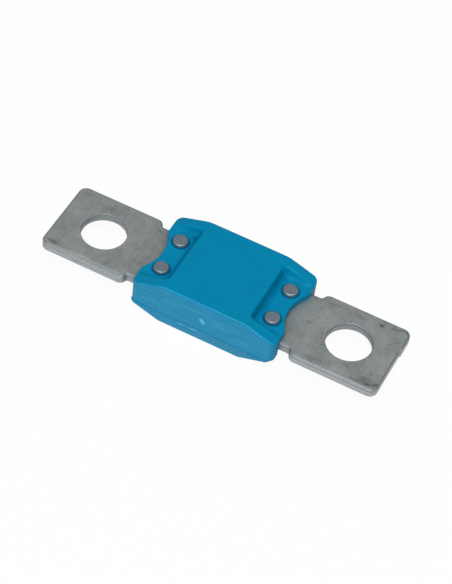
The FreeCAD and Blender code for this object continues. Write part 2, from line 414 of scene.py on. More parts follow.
def shearedEdge(rollRadius, rollShare):
    # section of a punched edge from the top down, as (inset, level): flat rim, quarter round roll, fine
    # groove, upright break and lower edge; roll point = (r * (1 - sin a), top - r * share * (1 - cos a))
    top = strip["thickness"] / 2
    drop = rollRadius * rollShare
    turn = np.radians(np.linspace(0, 90, 9))
    roll = np.stack([rollRadius * (1 - np.sin(turn)), top - drop * (1 - np.cos(turn))], axis=1)
    scoreLevel = top - max(strip["scoreDrop"], drop + strip["scoreDepth"])
    score = [(share * strip["scoreDepth"], scoreLevel + above) for share, above in strip["score"]]
    lowerEdge = [(inset, above - top) for inset, above in strip["lowerEdge"]]
    return np.array([(rollRadius + strip["flatRim"], top), *roll.tolist(), *score, (0, 0), *lowerEdge])


def thinLink(points):
    # points with the coined middle of the link drawn in: level = middle + offset * share, where share is
    # thin / full thickness within the thin length and 1 beyond its ramp
    share = np.clip((np.abs(points[:, 0]) - strip["thinLength"] / 2) / strip["thinRamp"], 0, 1)
    share = strip["thinThickness"] / strip["thickness"] * (1 - share) + share
    points[:, 2] = strip["middle"] + points[:, 2] * share
    return points


def widened(points, outline):
    # rim with the wide roll on the front of the left blade: point = plain + (wide - plain) * share
    x, y = outline.T
    grown, ended = np.interp(x, strip["wideFrom"], (0, 1)), np.interp(x, strip["wideTo"], (0, 1))
    share = np.minimum(grown, 1 - ended) * (y < 0)
    wide, _ = edgeBand(outline, shearedEdge(strip["wideRoll"], strip["rollDrop"]))
    return points + (wide - points) * share[None, :, None]


def eased(points, outline):
    # rim with smaller insets near sharp corners, where lines that are moved in would cross:
    # point = outline + inset * (1 - eased * share), with the share falling from 1 to 0 over the reach
    waist = (strip["waistRadius"], strip["linkWidth"] / 2)
    window = (strip["linkLength"] / 2, strip["neckWidth"] / 2)
    corners = [(i * x, j * y) for x, y in (waist, window) for i in (-1, 1) for j in (-1, 1)]
    corners.append(((strip["length"] - strip["cropStep"]) / 2, strip["cropPlace"] - strip["cropRun"] / 2))
    away = np.min([np.hypot(*(outline - corner).T) for corner in corners], axis=0)
    kept = 1 - strip["eased"] * np.interp(away, strip["easedReach"], (1, 0))
    plan = outline + (points[..., :2] - outline) * kept[None, :, None]
    return np.concatenate([plan, points[..., 2:]], axis=2)


def makeStrip(material):
    # rims round the outline and the holes, and flat faces between them
    top, plain = strip["thickness"] / 2, strip["plainBreak"]
    outline = stripOutline()
    rim, faces = edgeBand(outline, shearedEdge(strip["rollRadius"], 1.0))
    bands = [(eased(widened(rim, outline), outline), faces)]
    for place in boltPlaces:
        hole = circleOutline(place[0], place[1], strip["boltHoleRadius"], strip["step"])
        bands.append(edgeBand(hole, shearedEdge(strip["holeRoll"], strip["rollDrop"])))
    for place in rivetPlaces.values():
        hole = circleOutline(place[0], place[1], rivets["holeRadius"], strip["step"])
        bands.append(edgeBand(hole, [(plain, top), (0, top - plain), (0, plain - top), (plain, -top)]))
    parts = [(points.reshape(-1, 3), faces) for points, faces in bands]
    thinEnds = strip["thinLength"] / 2 + np.array([0, strip["thinRamp"]])
    across = np.linspace(-strip["creaseHalf"], strip["creaseHalf"], 9)
    creases = np.stack(np.meshgrid([*thinEnds, *-thinEnds], across), axis=-1).reshape(-1, 2)
    for row, level in ((0, top), (-1, -top)):
        plan, faces = fillPlan([points[row, :, :2] for points, _ in bands], creases)
        parts.append((np.column_stack([plan, np.full(len(plan), level)]), faces))
    parts = [(thinLink(points.copy()), faces) for points, faces in parts]
    piece = link("stamped_strip", joinParts("stamped_strip", parts))
    smoothBelow(piece.data, strip["keptSharp"])
    piece.data.materials.append(material)
    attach(piece, "root")
    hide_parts(strip["node"])


zinc = {
    "streakSize": (0.4, 1.8, 1.8),  # mm, rolling streaks, drawn about twice as coarse as real ones
    "blotchSize": (4.0, 4.0, 4.0),
    "grainSize": (0.25, 0.25, 0.25),
    "shearSize": (2.5, 2.5, 0.1),  # fine lines along the punched edges
    "raggedSize": (0.7, 0.7, 0.7),  # of the ragged edges of the dark marks
    "lineReach": (0.042, 0.14),  # mm from the dark line where the punched edge breaks, partly painted shade of its fine groove, over which it fades
    "relief": 0.01,  # mm that the streaks and the grain stand up
    "streakShare": 0.5,  # of each pattern in the mottling between dull and bright
    "blotchShare": 0.8,
    "grainShare": 0.35,
    "dull": "#8c9392",
    "bright": "#b5bcbb",
    "rolled": "#7c8383",  # painted shade that dims the highlight where the sheet bends down at its edges
    "punched": "#b4babe",
    "smudge": "#565a5b",
    # painted shade where the metal lies close to the housing and the rivets
    "creviceShade": "#666b6d",
    "creviceReach": 2.5,  # mm from a neighbour over which the painted shade darkens the metal
    "boreShade": 0.3,  # share of painted shade, in the smudge colour, inside the bolt holes
    "boreReach": (0.06, 0.16),  # mm past the bolt holes' wall over which that painted shade ends
    "markDepth": 0.6,  # mm below the top that the marks reach
    "markGain": 1.3,  # by which their strengths are raised, since their edges are ragged
    "marks": [  # dark marks on the blades: x, y, half length and width in mm, turn in degrees, strength
        (-32.4, -7.1, 1.9, 0.55, -5, 0.75), (-27.5, -6.6, 0.5, 0.35, 0, 0.35),
        (-25.6, -6.4, 1.2, 0.3, 60, 0.3), (-31.9, 6.9, 2.6, 0.35, 2, 0.35),
        (-16.9, 5.8, 1.6, 0.25, -33, 0.55), (-17.2, -7.6, 0.9, 0.5, 40, 0.55),
        (-27.5, 5.8, 3.0, 0.6, 4, 0.2), (30.3, -7.35, 2.0, 0.3, 0, 0.6),
        (32.4, -7.2, 1.5, 0.42, 14, 0.85), (33.7, -6.65, 1.3, 0.38, 35, 0.9),
        (31.7, -6.5, 2.2, 0.9, 4, 0.45), (32.05, -4.6, 0.25, 1.0, -8, 0.55),
        (29.1, 6.6, 0.75, 0.62, 0, 0.9), (31.9, 7.15, 1.7, 0.24, 12, 0.75),
        (32.3, 3.4, 0.22, 0.8, -10, 0.45), (32.2, 2.3, 0.8, 0.22, 30, 0.4),
        (33.4, 4.6, 0.7, 0.28, 40, 0.4), (34.4, 2.1, 0.5, 0.35, 40, 0.75),
        (33.9, 7.4, 0.9, 0.5, -40, 0.6), (34.5, 6.1, 0.4, 0.9, 0, 0.5), (33.1, 7.8, 0.8, 0.4, -10, 0.45),
        (27.4, -5.3, 1.2, 0.4, -20, 0.4), (17.2, 0.5, 0.6, 0.5, 0, 0.35), (19.6, 1.7, 0.35, 0.5, 0, 0.25),
        (17.8, 4.9, 0.9, 0.5, 30, 0.35), (20.6, 6.8, 2.2, 0.4, 3, 0.3), (24.6, 6.4, 2.4, 0.7, -4, 0.25),
        (21.5, -6.9, 3.0, 0.5, 2, 0.25), (24.5, -6.2, 0.4, 0.9, 10, 0.3),
        (22.4, -4.6, 0.35, 1.3, -6, 0.22),
    ],
}


def rolledZinc():
    # rolled zinc sheet, blanked and left plain: mid grey and matt under a thin oxide film, with short
    # rolling streaks across the strip, paler and duller patches, dark handling marks near the ends, and
    # punched edges that are smoother and paler, with a thin dark line where the cut broke that is partly
    # painted shade of its fine groove; painted shade also dims the bent-down edge crests, the bolt holes
    # and the metal close to its neighbours
    material, add = newMaterial("rolled_zinc")
    coordinates = add("TexCoord").outputs
    place = coordinates["Object"]
    patterns = []
    for name, detail in (("streak", 4.0), ("blotch", 5.0), ("grain", 2.0), ("shear", 3.0), ("ragged", 4.0)):
        scale = [1 / (length * mm) for length in zinc[name + "Size"]]
        scaled = add("Mapping", {"Vector": place, "Scale": scale})
        patterns.append(add("TexNoise", {"Vector": scaled, "Scale": 1.0, "Detail": detail,
                                         "Roughness": 0.6}))
    streak, blotch, grain, shear, ragged = patterns
    upright = add("SeparateXYZ", {0: coordinates["Normal"]}).outputs["Z"]
    upright = add("Math", {0: upright}, operation="ABSOLUTE")
    onEdge = add("MapRange", {0: upright, 1: 0.25, 2: 0.7, 3: 1.0, 4: 0.0})
    wear = 0.0
    for pattern, share in ((streak, "streakShare"), (blotch, "blotchShare"), (grain, "grainShare")):
        wear = add("Math", {0: pattern, 1: zinc[share], 2: wear}, operation="MULTIPLY_ADD")
    wear = add("MapRange", {0: wear, 1: 0.6, 2: 1.05})
    tint = add("Mix", {0: wear, 6: hexColor(zinc["dull"]), 7: hexColor(zinc["bright"])}, data_type="RGBA")

    ragged = add("MapRange", {0: ragged, 1: 0.35, 2: 0.6, 3: 0.55})
    dirt = 0.0
    topLevel = strip["middle"] + strip["thickness"] / 2
    for x, y, halfLength, halfWidth, turn, strength in zinc["marks"]:
        fade = markFade(add, place, (x, y, topLevel), (0, 0, math.radians(turn)),
                        (halfLength, halfWidth, zinc["markDepth"]))
        fade = add("Math", {0: fade, 1: strength * zinc["markGain"]}, operation="MULTIPLY")
        dirt = add("Math", {0: dirt, 1: fade}, operation="MAXIMUM")
    dirt = add("Math", {0: dirt, 1: ragged}, operation="MULTIPLY", use_clamp=True)
    scratch = add("MapRange", {0: streak, 1: 0.56, 2: 0.72, 4: 0.5})
    patchy = add("MapRange", {0: blotch, 1: 0.45, 2: 0.6})
    scratch = add("Math", {0: scratch, 1: patchy}, operation="MULTIPLY")
    dirt = add("Math", {0: dirt, 1: scratch}, operation="MAXIMUM")
    soiled = add("Mix", {0: dirt, 6: tint, 7: hexColor(zinc["smudge"])}, data_type="RGBA")

    # thin dark line where the punched edge breaks, partly painted shade of its fine groove; left out where
    # the wide roll smears over the groove
    breakLevel = (topLevel - strip["scoreDrop"]) * mm
    along = add("SeparateXYZ", {0: place}).outputs
    level = add("Math", {0: along["Z"], 1: breakLevel}, operation="SUBTRACT")
    level = add("Math", {0: level}, operation="ABSOLUTE")
    line = add("MapRange", {0: level, **between(0, zinc["lineReach"]), 3: 0.95, 4: 0.0})
    before = add("MapRange", {0: along["X"], **between(0, strip["wideFrom"]), 3: 1.0, 4: 0.0})
    after = add("MapRange", {0: along["X"], **between(0, strip["wideTo"])})
    plain = add("Math", {0: before, 1: after}, operation="MAXIMUM")
    line = add("Math", {0: line, 1: plain}, operation="MULTIPLY")
    # fine shear lines along the punched edges, with the painted shade of the groove and of the bolt holes
    linesAndShade = add("MapRange", {0: shear, 1: 0.35, 2: 0.65, 3: 0.25, 4: 0.0})
    linesAndShade = add("Math", {0: linesAndShade, 1: line}, operation="MAXIMUM")
    # painted shade inside the bolt holes, in the smudge colour
    boreRange = between(strip["boltHoleRadius"], zinc["boreReach"])
    for x, y, _ in boltPlaces:
        axis = add("Mapping", {"Vector": place, "Location": (x * mm, y * mm, 0)}, vector_type="TEXTURE")
        radius = add("VectorMath", {0: axis, 1: (1, 1, 0)}, operation="MULTIPLY")
        radius = add("VectorMath", {0: radius}, operation="LENGTH")
        bore = add("MapRange", {0: radius, **boreRange, 3: zinc["boreShade"], 4: 0.0})
        linesAndShade = add("Math", {0: linesAndShade, 1: bore}, operation="MAXIMUM")
    punched = add("Mix", {0: linesAndShade, 6: hexColor(zinc["punched"]), 7: hexColor(zinc["smudge"])},
                  data_type="RGBA")
    # painted shade that dims the highlight on the bent-down edge crests, picked by the surface's tilt
    crestShade = add("MapRange", {0: upright, 1: 0.9, 2: 0.99, 3: 1.0, 4: 0.0})
    turned = add("MapRange", {0: upright, 1: 0.5, 2: 0.85})
    crestShade = add("Math", {0: crestShade, 1: turned}, operation="MINIMUM")
    crestShade = add("Mix", {0: crestShade, 6: soiled, 7: hexColor(zinc["rolled"])}, data_type="RGBA")
    surface = add("Mix", {0: onEdge, 6: crestShade, 7: punched}, data_type="RGBA")

    # painted shade where the metal lies close to its neighbours
    openness = add("AmbientOcclusion", {"Distance": zinc["creviceReach"] * mm}, samples=8)
    paintedShade = add("MapRange", {0: openness.outputs["AO"], 1: 0.5, 2: 0.95, 3: 0.45, 4: 0.0})
    shaded = add("Mix", {0: paintedShade, 6: surface, 7: hexColor(zinc["creviceShade"])}, data_type="RGBA")
    height = add("Math", {0: streak, 1: grain}, operation="ADD")
    height = add("Mix", {0: onEdge, 2: height, 3: shear})
    relief = add("MapRange", {0: onEdge, 3: 0.4, 4: 0.12})
    bump = add("Bump", {"Height": height, "Distance": zinc["relief"] * mm, "Strength": relief})
    roughness = add("MapRange", {0: onEdge, 3: 0.56, 4: 0.6})
    shader = add("BsdfPrincipled", {
        "Base Color": shaded, "Metallic": 0.7, "Roughness": roughness, "Normal": bump})
    add("OutputMaterial", {"Surface": shader})
    return material


makeStrip(rolledZinc())
print("strip made")


# Rivets

def rivetProfile(box):
    # section of a rivet from its upper to its lower pole, as (radius, level): the flat head, its round edge
    # with point = centre + (sin a, cos a) * edge radius, the shank, and the same below
    middle = (box[0][2] + box[1][2]) / 2
    halfHeight = (box[1][2] - box[0][2]) / 2
    turn = np.radians(np.linspace(0, 90, 7))
    edge = rivets["edgeRadius"]
    edgeX = rivets["headRadius"] - edge
    under = halfHeight - rivets["headHeight"]
    rim = np.column_stack([edgeX + edge * np.sin(turn), halfHeight - edge + edge * np.cos(turn)])
    flat = [(0, halfHeight), (edgeX - rivets["flatRim"], halfHeight)]
    shank = [(rivets["headRadius"], under), (rivets["shankRadius"], under)]
    upper = np.concatenate([flat, rim, shank])
    lower = upper[::-1] * (1, -1)
    return np.concatenate([upper, lower]) + (0, middle)


def makeRivet(name, material):
    # profile turned about the rivet's axis: point = axis + radius * (cos a, sin a)
    axis = rivetPlaces[name]
    profile = rivetProfile(rivetBoxes[name])
    turn = np.linspace(0, 2 * math.pi, rivets["segments"], endpoint=False)
    radius, level = profile.T
    points = np.stack([
        axis[0] + radius[:, None] * np.cos(turn),
        axis[1] + radius[:, None] * np.sin(turn),
        np.broadcast_to(level[:, None], (len(level), len(turn))),
    ], axis=2)
    faces = ringFaces(len(profile), rivets["segments"])
    piece = link(name + "_turned", joinParts(name + "_turned", [(points.reshape(-1, 3), faces)]))
    smoothBelow(piece.data, strip["keptSharp"])
    piece.data.materials.append(material)
    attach(piece, "root")
    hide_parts(name)


plating = {
    "patchSize": 0.8,  # mm
    "grainSize": 0.2,
    "dull": "#6f7e88",
    "bright": "#9caab3",
    "relief": 0.01,
}


def platedSteel():
    # zinc-plated steel: dull and bluish, in small patches left by the hammer that closed the heads
    material, add = newMaterial("dull_plated_steel")
    place = add("TexCoord").outputs["Object"]
    patchScale, grainScale = [1 / (size * mm) for size in (plating["patchSize"], plating["grainSize"])]
    patch = add("TexNoise", {"Vector": place, "Scale": patchScale, "Detail": 4.0, "Roughness": 0.6})
    grain = add("TexNoise", {"Vector": place, "Scale": grainScale, "Detail": 2.0})
    tint = add("Mix", {0: patch, 6: hexColor(plating["dull"]), 7: hexColor(plating["bright"])},
               data_type="RGBA")
    height = add("Math", {0: patch, 1: 3.0, 2: grain}, operation="MULTIPLY_ADD")
    bump = add("Bump", {"Height": height, "Distance": plating["relief"] * mm, "Strength": 0.5})
    shader = add("BsdfPrincipled", {
        "Base Color": tint, "Metallic": 0.75, "Roughness": 0.5, "Normal": bump})
    add("OutputMaterial", {"Surface": shader})
    return material


rivetSteel = platedSteel()
for rivetName in rivetNames:
    makeRivet(rivetName, rivetSteel)
print("rivets made")


# Housing

shell = {
    "node": "upper_housing",
    "cornerRadius": 1.3,
    "widestLevel": 4.25,
    "flatHalf": 8.35,  # mm from the middle to the ridge where each slope starts
    "endSlope": 20.0,  # degrees
    "ridgeSoftness": 0.5,
    "sideDraft": 1.0,
    "endDraft": 0.8,
    "bayDepth": 1.6,
    "bayRadius": 8.9,
    "bayLipRadius": 1.5,
    "rimRadius": 0.16,  # soft outer edge of the moulding
    "seamBreak": 0.15,
    "floorLevel": 7.7,
    "wallHalf": 8.38,
    "wallHalfWidth": 7.15,
    "wallCorner": 0.9,
    "wallDraft": 0.25,  # mm that a wall leans in for each mm of its height
    "wallEdgeRadius": 0.4,
    "footRadius": 0.7,
    "sideFootRadius": 1.3,
    "lowWall": 1.3,  # mm below which a wall is a plain hollow, towards the ends
    "lowReach": 1.1,
    "lipSoftness": 0.12,
    "pocketWidth": 14.25,
    "slotWidth": 13.95,  # close round the strip, so that no gap shows beside the necks
    "pocketTop": 6.0,
    "chamberLength": 13.8,
    "chamberTop": 8.25,
    "cutHalf": 20,  # mm from the middle to the ends of the cutters, past the shell's
    "cutTop": 12,
    "plainX": [(0, 7.6, 0.6), (7.7, 8.2, 0.1)],  # from, to and step of the top's plainer points, in mm
    "plainY": [(0, 5.6, 0.5)],
    "fineStep": 0.05,  # mm between the points on the recess walls
    "wallSpan": (-0.48, 1.69),  # mm in from a wall's upper line that get such points
    "cornerSpan": (0.25, 1.45),  # and in the walls' corners
    "endSpan": (1.4, 0.3),  # mm past the inner wall where plainer points start, and their step
    "sideSpan": (0.5, 0.4),  # the same past the side walls
    "rimGap": 0.07,  # mm that the top's points keep from the rim
    "keptSharp": 35,  # degrees above which an edge isn't shaded smooth
    "step": 0.16,
}
moulding = {
    "barWidth": 0.18,  # mm, half width of the plain index bars sunk in the top
    "barDepth": 0.04,
    "alongReach": 0.3,  # mm past a bar's ends that get points
    "acrossSpan": (-0.28, 0.3, 0.07),  # mm across it, from, to and step
    "alongStep": 0.08,
    "groups": [  # rows of slanting bars: x and y of the first, step to the next, number, length, turn
        (-6.9, -2.1, (0, 0.75), 5, 1.0, 25),
        (-2.6, -6.7, (1.0, 0), 5, 1.5, 65),
        (6.2, -8.0, (0, 0.75), 4, 1.0, 25),
        (6.2, -2.6, (0, 0.75), 6, 0.9, 25),
    ],
}
bars = [(x + i * stepX, y + i * stepY, length, turn)
        for x, y, (stepX, stepY), count, length, turn in moulding["groups"] for i in range(count)]
low, high = boxOf(shell["node"])
shell["length"], shell["width"], _ = high - low
shell["seamLevel"], shell["topLevel"] = low[2], high[2]


def shellOutline():
    # plan of the upper shell at its longest, counter-clockwise: round corners, a shallow bay in each end
    endX = shell["length"] / 2
    sideY = shell["width"] / 2
    corner = shell["cornerRadius"]
    bay, lip, depth = shell["bayRadius"], shell["bayLipRadius"], shell["bayDepth"]
    bayX = endX - depth + bay
    lipY = math.sqrt(depth * (2 * (bay + lip) - depth))
    meeting = math.degrees(math.atan2(lipY, bayX - endX + lip))
    right = [
        (endX - corner, corner - sideY, corner, 270, 360),
        (endX - lip, -lipY, lip, 0, meeting),
        (bayX, 0, bay, 180 + meeting, 180 - meeting),
        (endX - lip, lipY, lip, -meeting, 0),
        (endX - corner, sideY - corner, corner, 0, 90),
    ]
    left = [(-x, -y, radius, start + 180, end + 180) for x, y, radius, start, end in right]
    return arcOutline(right + left, shell["step"])


def outerTop(x):
    # flat top that bends down into a slope past the ridge:
    # level = top - tan(slope) * (t + sqrt(t^2 + s^2)) / 2, with t = |x| - ridge and s = softness
    past = np.abs(x) - shell["flatHalf"]
    run = (past + np.sqrt(past ** 2 + shell["ridgeSoftness"] ** 2)) / 2
    return shell["topLevel"] - math.tan(math.radians(shell["endSlope"])) * run


def recessDepthIn(x, y):
    # distance inwards from a recess's upper wall line, a U with round corners that opens to the end
    corner = shell["wallCorner"]
    fromWall = np.abs(x) - shell["wallHalf"] - corner
    fromSide = shell["wallHalfWidth"] - corner - np.abs(y)
    inCorner = (fromWall < 0) & (fromSide < 0)
    straight = np.minimum(fromWall, fromSide)
    return corner + np.where(inCorner, -np.hypot(fromWall, fromSide), straight)


def barSink(x, y):
    # depth of the plain bars: depth * (1 - (d / w)^2)^2, with d the distance to the bar's middle line
    sink = np.zeros(np.shape(x))
    for barX, barY, length, turn in bars:
        c, s = math.cos(math.radians(turn)), math.sin(math.radians(turn))
        along = np.clip((x - barX) * c + (y - barY) * s, -length / 2, length / 2)
        away = np.hypot(x - barX - along * c, y - barY - along * s)
        sink = np.maximum(sink, np.maximum(1 - (away / moulding["barWidth"]) ** 2, 0) ** 2)
    return sink * moulding["barDepth"]


def topHeight(x, y):
    # level of the shell's top: the outer top, the recess floors, and between them the recess walls. With w
    # the distance in from the wall line, r and f the radii of the wall's edge and foot, and g its lean:
    # edge = r - sqrt(r^2 - (w + r)^2) below the top, foot = f - sqrt(f^2 - (g + f - w)^2) above the floor.
    # Low walls, near the ends, are hollows: drop = rise * (2 t - t^2), t from 0 at the lip to 1 at the reach
    outer = outerTop(x)
    floorLevel = shell["floorLevel"]
    rise = np.maximum(outer - floorLevel, 0)
    inwards = recessDepthIn(x, y)
    past = np.abs(x) - shell["wallHalf"] - shell["wallHalfWidth"] + np.abs(y)
    atSide = np.clip(0.5 + past / 2, 0, 1)
    foot = shell["footRadius"] * (1 - atSide) + shell["sideFootRadius"] * atSide
    tiny, nearlyAll = 1e-6, 0.999  # so that no radius and no lean becomes zero
    share = np.minimum(1, rise / (shell["wallEdgeRadius"] + foot)) * nearlyAll + tiny
    edge = shell["wallEdgeRadius"] * share
    foot = foot * share
    lean = shell["wallDraft"] * np.maximum(rise - edge - foot, 0) + tiny
    drop = edge - np.sqrt(np.maximum(edge ** 2 - np.clip(inwards + edge, 0, edge) ** 2, 0))
    wallShare = np.clip(inwards / lean, 0, 1)
    wall = (outer - edge) * (1 - wallShare) + (floorLevel + foot) * wallShare
    climb = foot - np.sqrt(np.maximum(foot ** 2 - np.clip(lean + foot - inwards, 0, foot) ** 2, 0))
    high = np.where(inwards <= 0, outer - drop, np.where(inwards < lean, wall, floorLevel + climb))

    soft = shell["lipSoftness"]
    ramp = np.where(inwards > soft, inwards, np.maximum(inwards + soft, 0) ** 2 / (4 * soft))
    t = np.minimum(ramp / shell["lowReach"], 1)
    low = outer - rise * (2 * t - t ** 2)
    lowShare = np.clip(shell["lowWall"] - rise, 0, 1)
    level = high * (1 - lowShare) + low * lowShare - barSink(x, y)
    return np.where(rise > 0, level, np.minimum(outer, floorLevel))


def drawnIn(plan, level):
    # points with the draft: x shrinks with the depth below the recess floors, and y with the distance from
    # the widest level
    endLean = math.tan(math.radians(shell["endDraft"])) / (shell["length"] / 2)
    sideLean = math.tan(math.radians(shell["sideDraft"])) / (shell["width"] / 2)
    x = plan[..., 0] * (1 - np.maximum(shell["floorLevel"] - level, 0) * endLean)
    y = plan[..., 1] * (1 - np.abs(level - shell["widestLevel"]) * sideLean)
    return np.stack([x, y, level], axis=-1)


def shellTopPoints(rim):
    # inner points of the top, on lines close together along the recess walls and their corners, and wider
    # apart elsewhere
    wall, side, fine = shell["wallHalf"], shell["wallHalfWidth"], shell["fineStep"]
    section, corner = [np.arange(*shell[key], fine) for key in ("wallSpan", "cornerSpan")]
    (endStart, endStep), (sideStart, sideStep) = shell["endSpan"], shell["sideSpan"]
    alongX = [wall + section, wall + corner, np.arange(wall + endStart, shell["length"] / 2, endStep)]
    alongX = np.concatenate(alongX + [np.arange(*span) for span in shell["plainX"]])
    alongY = [side - section, side - corner, np.arange(side + sideStart, shell["width"] / 2, sideStep)]
    alongY = np.concatenate(alongY + [np.arange(*span) for span in shell["plainY"]])
    x, y = np.meshgrid(np.unique(np.round(alongX, 4)), np.unique(np.round(alongY, 4)))
    quarter = np.stack([x.ravel(), y.ravel()], axis=1)
    spread = [quarter * (i, j) for i in (-1, 1) for j in (-1, 1)]
    for x, y, length, turn in bars:
        reach = length / 2 + moulding["alongReach"]
        alongBar = np.arange(-reach, reach, moulding["alongStep"])
        a, b = [grid.ravel() for grid in np.meshgrid(alongBar, np.arange(*moulding["acrossSpan"]))]
        c, s = math.cos(math.radians(turn)), math.sin(math.radians(turn))
        spread.append(np.stack([x + a * c - b * s, y + a * s + b * c], axis=1))
    points = np.unique(np.concatenate(spread), axis=0)
    points = points[insideLoops(points, [rim])]
    nearest = np.hypot(points[:, None, 0] - rim[:, 0], points[:, None, 1] - rim[:, 1]).min(axis=1)
    return points[nearest > shell["rimGap"]]


def makeUpperBlock():
    # outer form of the upper shell, closed: seam face, drafted walls, round rim and shaped top
    outline = shellOutline()
    normals = outwardNormals(outline)
    radius = shell["rimRadius"]
    seam, seamBreak = shell["seamLevel"], shell["seamBreak"]
    rows = []
    for inset, level in ((seamBreak, seam), (0, seam + seamBreak)):
        rows.append(drawnIn(outline - normals * inset, np.full(len(outline), level)))
    edgeLevel = topHeight(*outline.T) - radius
    for share in np.linspace(0, 1, 7)[1:-1]:
        rows.append(drawnIn(outline, seam + seamBreak + (edgeLevel - seam - seamBreak) * share))
    for angle in np.radians(np.linspace(0, 90, 8)):
        plan = outline - normals * radius * (1 - math.cos(angle))
        level = topHeight(*plan.T) - radius * (1 - math.sin(angle))
        rows.append(drawnIn(plan, level))
    walls = (np.concatenate(rows), ringFaces(len(rows), len(outline)))
    seamFace = (rows[0], [tuple(range(len(outline)))])
    rim = outline - normals * radius
    plan, faces = fillPlan([rim], shellTopPoints(rim))
    return joinParts("upper_block", [walls, seamFace, (drawnIn(plan, topHeight(*plan.T)), faces)])


def prism(outline, low, high):
    # upright prism over an outline, for cutting
    count = len(outline)
    points = np.concatenate([np.column_stack([outline, np.full(count, level)]) for level in (low, high)])
    faces = [tuple(range(count)), tuple(range(count, 2 * count))]
    return points, faces + [tuple(face) for face in ringFaces(2, count)]


def cutOut(piece, cutters):
    # cuts closed prisms out of a piece and leaves plain mesh
    for points, faces in cutters:
        tool = link("cutter", joinParts("cutter", [(points, faces)]))
        cut = piece.modifiers.new("cut", "BOOLEAN")
        cut.object = tool
        cut.operation = "DIFFERENCE"
        cut.solver = "EXACT"
        shape = bpy.data.meshes.new_from_object(piece.evaluated_get(bpy.context.evaluated_depsgraph_get()))
        piece.modifiers.clear()
        piece.data = shape
        bpy.data.objects.remove(tool)


def rectangle(halfLength, width):
    # corners of a plan rectangle round the middle
    return np.array([(-1, -1), (1, -1), (1, 1), (-1, 1)]) * (halfLength, width / 2)


def makeUpperShell(material):
    # outer form with the strip's slot, the chamber and the rivet holes cut out
    piece = link("upper_shell", makeUpperBlock())
    pocket, cutHalf = shell["pocketWidth"], shell["cutHalf"]
    cutters = [prism(rectangle(cutHalf, pocket), 0, strip["middle"] - strip["thickness"] / 2),
               prism(rectangle(cutHalf, shell["slotWidth"]), 0, shell["pocketTop"]),
               prism(rectangle(shell["chamberLength"] / 2, pocket), 0, shell["chamberTop"])]
    for place in rivetPlaces.values():
        hole = circleOutline(place[0], place[1], rivets["holeRadius"], strip["step"])
        cutters.append(prism(hole, 0, shell["cutTop"]))
    cutOut(piece, cutters)
    smoothBelow(piece.data, shell["keptSharp"])
    piece.data.materials.append(material)
    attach(piece, "root")
    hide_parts(shell["node"])


nylon = {
    "darker": "#007fa9",  # clouds in the moulding
    "paler": "#0086af",
    "cloudSize": 3.0,
    "grainSize": 0.3,
    "scuffed": "#5aaed2",
    "scuffPitch": 0.25,  # mm between scuff streaks along the side walls
    "scuffLength": 4.0,
    # painted highlight on the upper edges that face the front and on the recesses' back rims
    "rimHighlight": "#22a0cc",
    "rimReach": (-0.5, -0.2),  # mm past the side walls over which they are scuffed and their edges take the painted highlight and shade
    "lipReach": (0, 0.1),  # and past the recesses' far walls
    "edgeLightLevels": (6.5, 6.7),  # mm above the base over which the painted edge highlight and shade start
    "slopeReach": (-9.5, -8.0),  # mm along the fuse over which the painted highlight grows from the left slope's share
    "leftHighlight": 0.15,
    # painted shade on the upper edges that face the back
    "farEdgeShade": "#004a66",
    "brinkReach": (-0.25, -0.15),  # mm past the back wall over which that edge's painted shade grows
    "shaded": "#00557c",  # painted shade in the recesses, beside their walls and on them, and round the rivets
    "wallReach": 2.0,  # mm from a wall over which painted shade deepens the recess floors
    "contactReach": 0.5,  # and from a rivet
    "leftShade": 0.85,  # strength beside the left recess's inner wall, which turns away from the light
    "rightShade": 0.25,
    "wallShade": 0.02,
    "shadeSides": (-1, 1),  # mm along the fuse over which it goes from left to right
    "shadeLimit": (0.3, 0.5),  # mm past the recess walls over which it ends
    "shadeLevels": (-0.15, -0.02),  # mm past the level of the recess floors over which it starts
    "relief": 0.01,
    "plainGloss": 0.1,  # specular level of the finely eroded moulding
    "wallGloss": 0.19,  # and of the long walls, polished by sliding out of the mould
    "markDepth": 0.5,  # mm into the moulding that the marks reach
    "marks": [  # pale rubbed marks on the front wall: x, level, half length and height, turn, strength
        (0.0, 5.8, 0.6, 0.55, 0, 1.8), (0.35, 5.3, 0.6, 0.5, -20, 1.5), (-4.0, 2.2, 0.9, 0.22, 4, 1.6),
        (-1.5, 2.25, 1.2, 0.22, 4, 1.6), (-6.5, 6.6, 2.5, 1.2, 8, 0.15), (3.5, 6.2, 3.2, 1.0, -6, 0.2),
        (-10.5, 5.4, 1.8, 1.0, 20, 0.12), (8.8, 4.8, 2.4, 0.7, -12, 0.20), (-1.5, 7.6, 4.0, 0.5, 2, 0.22),
    ],
}


